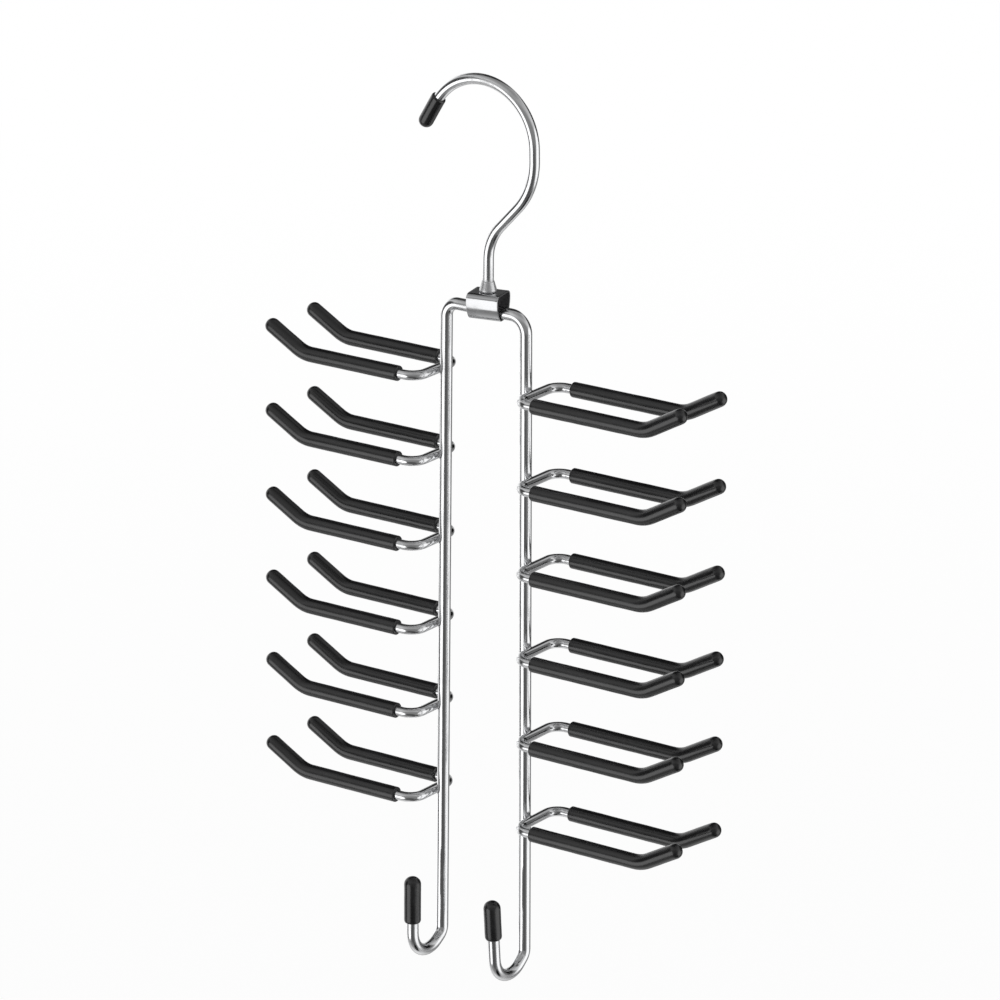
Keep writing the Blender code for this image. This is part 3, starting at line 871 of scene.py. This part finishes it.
def leg_corners(side, scene):
    """Corners of one half of the frame wire, from its belt hook's bare tip to the top bar."""
    sizes = scene.hanger_frame
    bar, heel = leg_spot(side, 0.0, scene), leg_spot(side, sizes.leg, scene)
    slant = {"left": sizes.left_slant, "right": sizes.right_slant}[side]
    lean = {"left": 0.0, "right": sizes.right_lean}[side]
    bowl_share = sizes.bowl * math.tan((math.pi - slant - lean) / 2)
    slope = sizes.heel * math.tan(slant / 2) + sizes.slant_run + bowl_share
    bowl = heel + Vector((0, -math.sin(slant), -math.cos(slant))) * slope
    height = heel.z + sizes.rise - scene.hanger_vinyl.cap_end_wall - bowl.z
    tip = bowl + Vector((0, -math.tan(lean), 1)) * height
    return [tip, bowl, heel, bar]


def weld_mesh(side, scene):
    """The bead between a leg and the base of its highest arm, waisted like a fillet."""
    arms, way, seat = scene.hanger_arms, SIDES[side], arm_spot(side, scene)
    leg, arm = scene.hanger_frame.wire / 2, arms.wire / 2
    apart = leg + arm + arms.weld_gap
    sink = arms.weld_gap / 5
    around, rows = 32, 8
    roughness, waist_power = 0.09, 0.7
    bm = bmesh.new()
    straight = bm.verts.layers.float_vector.new("straight")
    rings = []
    for row in range(rows + 1):
        part = row / rows
        waist = (arms.weld_edge - arms.weld_neck) * math.sin(math.pi * part) ** waist_power
        ring = []
        for step in range(around):
            turn = math.tau * step / around
            ragged = noise.noise(Vector((math.cos(turn), math.sin(turn), part + way)))
            reach = (arms.weld_edge - waist) * (1 + roughness * ragged)
            y, z = reach * math.cos(turn), reach * math.sin(turn)
            start = math.sqrt(leg * leg - y * y) - sink
            end = apart - math.sqrt(arm * arm - z * z) + sink
            spot = Vector((way * (start + (end - start) * part), y, z))
            ring.append(bm.verts.new(seat + spot))
            ring[-1][straight] = spot
        rings.append(ring)
    bridge(bm, rings, closed=True)
    return closed_mesh("weld_bead", bm, sharp=180)


def arm_corners(side, scene):
    """Corners of the highest arm on one leg, from its front tip to its back tip."""
    arms, way, leg = scene.hanger_arms, SIDES[side], arm_spot(side, scene)
    base = way * (scene.hanger_frame.wire / 2 + arms.wire / 2 + arms.weld_gap)
    reach = way * (arms.reach_right if way > 0 else arms.reach_left)
    half = arms.spread / 2
    rise = Vector((way * math.cos(arms.tip_rise), 0, math.sin(arms.tip_rise)))
    turn = Vector((reach, -half, 0))
    bare_tip = turn + rise * (arms.tip - scene.hanger_vinyl.end_wall)
    front = [bare_tip, turn, Vector((base, -half, 0))]
    back = [Vector((spot.x, -spot.y, spot.z)) for spot in front[::-1]]
    return [leg + spot for spot in front + back]


def sleeve_mesh(side, row, scene):
    """One sleeve of the highest arm, from its mouth near the leg to its closed tip."""
    arms, vinyl = scene.hanger_arms, scene.hanger_vinyl
    corners = arm_corners(side, scene)
    prong = corners[2::-1] if row == "front" else corners[3:]
    mouth = arm_spot(side, scene).x + SIDES[side] * vinyl.sleeve_start
    start, turn, end = Vector((mouth, *prong[0][1:])), prong[1], prong[2]
    samples = bend(start, turn, end, arms.bend, scene.hanger_detail.bend_steps * 2)
    samples = [(start, samples[0][1]), *samples, (end, samples[-1][1])]
    line = CentreLine(samples, Vector((0, 1, 0)))
    ends = (vinyl.end_wall, vinyl.sleeve_round, vinyl.sleeve_round)
    seed = {"left": 1, "right": 2}[side] + 2 * ROWS[row]
    name = "sleeve_" + side + "_" + row
    return cover_mesh(name, line, 0.0, arms.wire, vinyl.sleeve / 2, *ends, seed)


def joined(name, meshes):
    """Several meshes as one, with the attribute straight kept."""
    bm = bmesh.new()
    for mesh in meshes:
        bm.from_mesh(mesh)
    whole = bpy.data.meshes.new(name)
    bm.to_mesh(whole)
    bm.free()
    return whole


def new_finish(name, shown, constants):
    """A material of one shader with its constants, as the material, its board and shader."""
    material = bpy.data.materials.new(name)
    material.use_nodes = True
    material.diffuse_color = (*shown, 1)
    board = Board(material.node_tree)
    shader = board.add("ShaderNodeBsdfPrincipled", constants)
    output = board.add("ShaderNodeOutputMaterial", {"Surface": shader.outputs[0]})
    shader.location, output.location = (2600, 300), (2900, 300)
    return material, board, shader


def paint(board, shader, shade, rough, normal):
    """Lead a colour, a roughness and a normal to a finish's shader."""
    for key, socket in (("Base Color", shade), ("Roughness", rough), ("Normal", normal)):
        board.feed(shader, key, socket)


def chrome_finish(name, colours, seat_wear=False, dark_inside=False):
    """Bright chrome over steel, with draw lines along the wire and thin dull spots."""
    material, board, shader = new_finish(name, colours.chrome, {"Metallic": 1.0})
    place = board.out("ShaderNodeTexCoord", socket="Object")
    along = board.out("ShaderNodeAttribute", socket="Vector", attribute_name="straight")
    lines = board.grain(along, (2600, 2600, 45), detail=3.0)
    cloud = board.grain(place, 90.0, detail=3.0)
    specks = board.grain(place, 900.0, rough=0.6)
    # The clip takes the darker chrome colour, a painted shade
    bright = colours.strip_chrome if dark_inside else colours.chrome
    clouded = tuple(value * 0.85 for value in bright)
    shade = board.blend(board.fade(cloud, 0.52, 0.72), (*bright, 1), (*clouded, 1))
    start = colours.chrome_roughness
    rough = board.fade(cloud, 0.35, 0.75, start * 0.8, start * 1.7)
    rough = board.maths("ADD", rough, board.fade(lines, 0.45, 0.75, 0.0, start * 0.6))
    if seat_wear:
        near = board.out("ShaderNodeVectorMath", {0: place}, "Value", operation="LENGTH")
        scuffs = board.fade(board.grain(place, (350, 2600, 350), detail=4.0), 0.45, 0.62)
        scuffs = board.maths("MULTIPLY", board.fade(near, 0.014, 0.003), scuffs)
        rough = board.maths("MULTIPLY_ADD", scuffs, 0.22, rough)
        shade = board.blend(board.maths("MULTIPLY", scuffs, 0.5), shade, (*colours.chrome_dull, 1))
        # The pressed collar just over the clip is duller than the drawn wire
        height = board.out("ShaderNodeSeparateXYZ", {0: place}, "Z")
        pressed = board.fade(height, SWIVEL.z + 0.0062, SWIVEL.z + 0.0046)
        rough = board.maths("MULTIPLY_ADD", pressed, 0.24, rough)
    # The clip's inner skin is coloured darker and made rougher than its outside
    if dark_inside:
        depth = board.out("ShaderNodeAttribute", socket="Fac", attribute_name="inside")
        bare = board.fade(depth, 0.05, 0.6)
        shade = board.blend(bare, shade, (*colours.bare_steel, 1))
        rough = board.maths("MULTIPLY_ADD", bare, 0.25, rough)
    drawn = board.relief(lines, strength=0.20, distance=0.000012)
    normal = board.relief(specks, strength=0.06, distance=0.00002, below=drawn)
    paint(board, shader, shade, rough, normal)
    return material


def weld_finish(name, colours):
    """Plated weld metal: chrome that is duller and lumpy."""
    material, board, shader = new_finish(name, colours.weld, {"Metallic": 1.0})
    place = board.out("ShaderNodeTexCoord", socket="Object")
    lumps = board.grain(place, 1400.0, detail=3.0, rough=0.6)
    stain = board.fade(board.grain(place, 500.0), 0.4, 0.7)
    shade = board.blend(stain, (*colours.weld, 1), (*colours.chrome_dull, 1))
    rough = board.fade(lumps, 0.3, 0.7, 0.16, 0.34)
    paint(board, shader, shade, rough, board.relief(lumps, strength=0.6, distance=0.00006))
    return material


def vinyl_finish(name, colours):
    """Soft black vinyl: fine pebble, lines along its length, a pale bloom and scuffs."""
    constants = {"IOR": 1.52, "Specular IOR Level": 0.8}
    material, board, shader = new_finish(name, colours.vinyl, constants)
    place = board.out("ShaderNodeTexCoord", socket="Object")
    along = board.out("ShaderNodeAttribute", socket="Vector", attribute_name="straight")
    pebble = board.grain(place, 1500.0, rough=0.55)
    streaks = board.grain(along, (900, 900, 28), detail=3.0)
    bloom = board.grain(along, (260, 260, 60), detail=4.0, rough=0.6)
    pale = board.fade(bloom, 0.46, 0.74)
    shade = board.blend(pale, (*colours.vinyl, 1), (*colours.vinyl_bloom, 1))
    scratch = board.fade(board.grain(place, (300, 2400, 2400), detail=4.0), 0.60, 0.72)
    scuff = board.maths("MULTIPLY", scratch, board.fade(bloom, 0.5, 0.7))
    shade = board.blend(board.maths("MULTIPLY", scuff, 0.35), shade, (*colours.scuffed_vinyl, 1))
    start = colours.vinyl_roughness
    rough = board.fade(streaks, 0.3, 0.7, start * 0.88, start * 1.15)
    rough = board.maths("MULTIPLY_ADD", pale, 0.06, rough)
    pebbled = board.relief(pebble, strength=0.10, distance=0.00003)
    normal = board.relief(streaks, strength=0.30, distance=0.00005, below=pebbled)
    paint(board, shader, shade, rough, normal)
    return material


FINISHES = {
    "hook_chrome": (chrome_finish, {"seat_wear": True}),
    "strip_chrome": (chrome_finish, {"dark_inside": True}),
    "wire_chrome": (chrome_finish, {}),
    "weld_metal": (weld_finish, {}),
    "soft_vinyl": (vinyl_finish, {}),
}


def finish_of(kind):
    """The material of one of the hanger's finishes, made when it is first asked for."""
    if kind not in bpy.data.materials:
        maker, options = FINISHES[kind]
        maker(kind, bpy.context.scene.hanger_finish, **options)
    return bpy.data.materials[kind]


class HangerHookOperator(bpy.types.Operator):
    """Build the swivel hook with its head and tapered collar"""

    bl_idname = "hanger.hook"
    bl_label = "Swivel hook"

    def execute(self, context):
        scene = context.scene
        line = hook_line(scene)
        stations = hook_stations(scene.hanger_hook, scene.hanger_clip, line)
        mesh = skin("hook_wire", line, stations, scene.hanger_detail.sides)
        hang("hook_wire", mesh, "hook", ["swivel_hook"], "hook_chrome")
        return {"FINISHED"}


class HangerCapsOperator(bpy.types.Operator):
    """Build the vinyl caps on the hook and on the two belt hooks"""

    bl_idname = "hanger.caps"
    bl_label = "Hook caps"

    def execute(self, context):
        scene = context.scene
        vinyl = scene.hanger_vinyl
        end_wall = vinyl.cap_end_wall
        line = hook_line(scene)
        mouth = line.length + end_wall - vinyl.hook_cap_length
        wire, outer = scene.hanger_hook.wire, vinyl.hook_cap / 2
        depth = (outer - wire / 2 - vinyl.play) * CAP_MOUTH_DEPTH
        ends = (end_wall, depth, depth * HOOK_CAP_MOUTH_LENGTH)
        mesh = cover_mesh("hook_cap", line, mouth, wire, outer, *ends, seed=9)
        hang("hook_cap", mesh, "hook", ["hook_tip_cap"], "soft_vinyl")
        wire, outer = scene.hanger_frame.wire, vinyl.belt_cap / 2
        depth = (outer - wire / 2 - vinyl.play) * CAP_MOUTH_DEPTH
        lengths = {"left": vinyl.left_cap_length, "right": vinyl.right_cap_length}
        caps = []
        for seed, side in enumerate(SIDES, start=11):
            tip, bowl = leg_corners(side, scene)[:2]
            way = (tip - bowl).normalized()
            foot = tip - way * (lengths[side] - end_wall)
            line = CentreLine([(foot, way), (tip, way)], Vector((1, 0, 0)))
            ends = (end_wall, depth, vinyl.cap_round)
            caps.append(cover_mesh("belt_cap", line, 0.0, wire, outer, *ends, seed))
        mesh = joined("belt_hook_caps", caps)
        nodes = ["belt_hook_cap_" + side for side in SIDES]
        hang("belt_hook_caps", mesh, "frame", nodes, "soft_vinyl")
        return {"FINISHED"}


class HangerClipOperator(bpy.types.Operator):
    """Build the folded clip between the hook and the frame"""

    bl_idname = "hanger.clip"
    bl_label = "Folded clip"

    def execute(self, context):
        item = add_object("clip_blank", clip_mesh(context.scene))
        item.modifiers.new("even_shading", "WEIGHTED_NORMAL").keep_sharp = True
        hang("clip", made_mesh(item), "frame", ["hanger_clip"], "strip_chrome")
        return {"FINISHED"}


class HangerFrameOperator(bpy.types.Operator):
    """Bend the frame wire with its two legs and belt hooks"""

    bl_idname = "hanger.frame_wire"
    bl_label = "Frame wire"

    def execute(self, context):
        sizes = context.scene.hanger_frame
        left, right = [leg_corners(side, context.scene) for side in SIDES]
        radii = [sizes.bowl, sizes.heel, sizes.left_corner, sizes.right_corner, sizes.heel, sizes.bowl]
        mesh = wire_mesh("frame_wire", left + right[::-1], radii, sizes.wire)
        hang("frame_wire", mesh, "frame", ["hanger_frame"])
        return {"FINISHED"}


class HangerArmsOperator(bpy.types.Operator):
    """Bend one arm for each leg and repeat it down the leg"""

    bl_idname = "hanger.arms"
    bl_label = "Tie arms"

    def execute(self, context):
        arms = context.scene.hanger_arms
        radii = [arms.bend, arms.corner, arms.corner, arms.bend]
        for seed, side in enumerate(SIDES, start=3):
            mesh = wire_mesh("arm", arm_corners(side, context.scene), radii, arms.wire)
            nodes = ["arm_" + side + "_" + str(level + 1) for level in range(arms.levels)]
            hang_down_leg("tie_arms_" + side, side, mesh, seed, "wire_chrome", nodes)
        return {"FINISHED"}


class HangerSleevesOperator(bpy.types.Operator):
    """Make the two sleeves of an arm and repeat them down each leg"""

    bl_idname = "hanger.sleeves"
    bl_label = "Vinyl sleeves"

    def execute(self, context):
        levels = range(1, context.scene.hanger_arms.levels + 1)
        for seed, side in enumerate(SIDES, start=7):
            pair = joined("sleeve_pair", [sleeve_mesh(side, row, context.scene) for row in ROWS])
            stem = "sleeve_" + side + "_"
            nodes = [stem + str(level) + "_" + row for level in levels for row in ROWS]
            hang_down_leg("sleeves_" + side, side, pair, seed, "soft_vinyl", nodes)
        return {"FINISHED"}


class HangerWeldsOperator(bpy.types.Operator):
    """Add the weld bead between each arm and its leg"""

    bl_idname = "hanger.welds"
    bl_label = "Weld beads"

    def execute(self, context):
        for seed, side in enumerate(SIDES, start=5):
            bead = weld_mesh(side, context.scene)
            hang_down_leg("weld_beads_" + side, side, bead, seed, "weld_metal", [])
        return {"FINISHED"}


def studio_world():
    """Pale surroundings with the bright panels and dark cards that the chrome shows."""
    world = bpy.data.worlds.new("studio_surroundings")
    bpy.context.scene.world = world
    world.use_nodes = True
    board = Board(world.node_tree)
    way = board.out("ShaderNodeTexCoord", socket="Generated")
    height = board.out("ShaderNodeSeparateXYZ", {0: way}, "Z")
    part = board.out("ShaderNodeMapRange", {"Value": height, 1: -1.0, 2: 1.0})
    ramp = board.add("ShaderNodeValToRGB", {0: part})
    stops = ramp.color_ramp.elements
    while len(stops) < len(HEIGHT_LEVELS):
        stops.new(0.5)
    for index, level in enumerate(HEIGHT_LEVELS):
        stops[index].position = index / (len(HEIGHT_LEVELS) - 1)
        stops[index].color = (level, level, level, 1)
    shade = ramp.outputs["Color"]
    for bearing, tilt, inner, outer, level in PANELS:
        turn, rise = math.radians(bearing), math.radians(tilt)
        flat = math.cos(rise)
        aim = (math.sin(turn) * flat, -math.cos(turn) * flat, math.sin(rise))
        inputs = {0: way, 1: aim}
        facing = board.out("ShaderNodeVectorMath", inputs, "Value", operation="DOT_PRODUCT")
        inside = board.fade(facing, math.cos(math.radians(outer)), math.cos(math.radians(inner)))
        shade = board.blend(inside, shade, (level, level, level, 1))
    dressed = board.out("ShaderNodeBackground", {"Color": shade})
    white = board.out("ShaderNodeBackground", {"Color": WHITE})
    seen = board.out("ShaderNodeLightPath", socket="Is Camera Ray")
    mixed = board.out("ShaderNodeMixShader", {0: seen, 1: dressed, 2: white})
    board.add("ShaderNodeOutputWorld", {"Surface": mixed})


def studio_floor(drop, tint):
    """A wide pale floor that goes over into the white surroundings."""
    bm = bmesh.new()
    bmesh.ops.create_circle(bm, cap_ends=True, segments=96, radius=FLOOR_RADIUS)
    mesh = bpy.data.meshes.new("studio_floor")
    bm.to_mesh(mesh)
    bm.free()
    constants = {"Roughness": 0.9, "Specular IOR Level": 0.1}
    material, board, shader = new_finish("pale_floor", tint, constants)
    place = board.out("ShaderNodeTexCoord", socket="Object")
    paler = tuple(min(1.0, value * 1.02) for value in tint)
    shade = board.blend(board.grain(place, 9.0, detail=4.0), (*tint, 1), (*paler, 1))
    board.feed(shader, "Base Color", shade)
    white = board.out("ShaderNodeEmission", {"Color": WHITE, "Strength": 1.0})
    away = board.out("ShaderNodeVectorMath", {0: place}, "Value", operation="LENGTH")
    rays = board.add("ShaderNodeLightPath").outputs
    seen = board.maths("MAXIMUM", rays["Is Camera Ray"], rays["Is Glossy Ray"])
    seen = board.maths("MAXIMUM", seen, rays["Is Transmission Ray"])
    whiteness = board.fade(away, *FLOOR_FADE, low=MIDDLE_WHITE)
    factor = board.maths("MULTIPLY", seen, whiteness)
    mixed = board.out("ShaderNodeMixShader", {0: factor, 1: shader.outputs[0], 2: white})
    board.feed(board.tree.get_output_node("ALL"), "Surface", mixed)
    mesh.materials.append(material)
    floor = add_object("studio_floor", mesh)
    floor.location.z = -drop
    floor.visible_glossy = False


def studio_light(name, spot, aim, power):
    """One large soft light that lights the object but doesn't show in the chrome."""
    lamp = bpy.data.lights.new(name, "AREA")
    lamp.shape = "DISK"
    lamp.size = LIGHT_WIDTH
    lamp.energy = power
    item = add_object(name, lamp)
    item.location = spot
    item.rotation_mode = "QUATERNION"
    item.rotation_quaternion = (Vector(aim) - Vector(spot)).to_track_quat("-Z", "Y")
    item.visible_camera = False
    item.visible_glossy = False


def studio_camera(studio, target):
    """A long lens at the picture's viewing angle, with the hanger in its place."""
    lens = bpy.data.cameras.new("studio_camera")
    lens.lens = studio.focal_length
    lens.sensor_width = 36.0
    lens.clip_start, lens.clip_end = 0.05, 60.0
    ahead = Matrix.Rotation(studio.azimuth, 4, "Z")
    tilt = Matrix.Rotation(math.pi / 2 - studio.elevation, 4, "X")
    place = Matrix.Translation((0, 0, studio.distance)) @ Matrix.Rotation(studio.roll, 4, "Z")
    camera = add_object("studio_camera", lens)
    camera.matrix_world = Matrix.Translation(target) @ ahead @ tilt @ place
    bpy.context.scene.camera = camera


class HangerStudioOperator(bpy.types.Operator):
    """Set up the floor, the soft lights, the surroundings and the camera"""

    bl_idname = "hanger.studio"
    bl_label = "Studio"

    def execute(self, context):
        studio = context.scene.hanger_studio
        target = (studio.target_x, 0, studio.target_z)
        studio_world()
        studio_floor(studio.floor_drop, context.scene.hanger_finish.floor)
        studio_light("soft_light_front", (0.5, -1.6, 0.5), target, studio.light_power)
        studio_light("soft_light_left", (-1.5, -0.4, 0.4), target, studio.light_power)
        studio_light("soft_light_back", (0.9, 1.4, 0.6), target, studio.light_power)
        studio_camera(studio, target)
        context.scene.view_settings.view_transform = "Standard"
        return {"FINISHED"}


OPERATORS = (
    HangerHookOperator,
    HangerCapsOperator,
    HangerClipOperator,
    HangerFrameOperator,
    HangerArmsOperator,
    HangerSleevesOperator,
    HangerWeldsOperator,
    HangerStudioOperator,
)


class HangerPanel(bpy.types.Panel):
    """Lists the pieces of the hanger in build order, with their sizes"""

    bl_idname = "VIEW3D_PT_hanger"
    bl_label = "Tie and Belt Hanger"
    bl_space_type = "VIEW_3D"
    bl_region_type = "UI"
    bl_category = "Hanger"

    def draw(self, context):
        column = self.layout.column(align=True)
        for operator in OPERATORS:
            column.operator(operator.bl_idname)
        for key, group in GROUPS.items():
            box = self.layout.box()
            box.label(text=group.__doc__)
            sizes = getattr(context.scene, key)
            for label in group.__annotations__:
                box.prop(sizes, label)


def register():
    """Register the classes and give every scene its sizes."""
    for item in (*GROUPS.values(), *OPERATORS, HangerPanel):
        bpy.utils.register_class(item)
    for key, group in GROUPS.items():
        setattr(bpy.types.Scene, key, PointerProperty(type=group))


def unregister():
    """Take the sizes and the classes away again."""
    for key in GROUPS:
        delattr(bpy.types.Scene, key)
    for item in reversed((*GROUPS.values(), *OPERATORS, HangerPanel)):
        bpy.utils.unregister_class(item)


def main():
    """Build every piece in order."""
    register()
    bpy.ops.hanger.hook()
    bpy.ops.hanger.caps()
    bpy.ops.hanger.clip()
    bpy.ops.hanger.frame_wire()
    bpy.ops.hanger.arms()
    bpy.ops.hanger.sleeves()
    bpy.ops.hanger.welds()
    bpy.ops.hanger.studio()


if __name__ == "__main__":
    main()
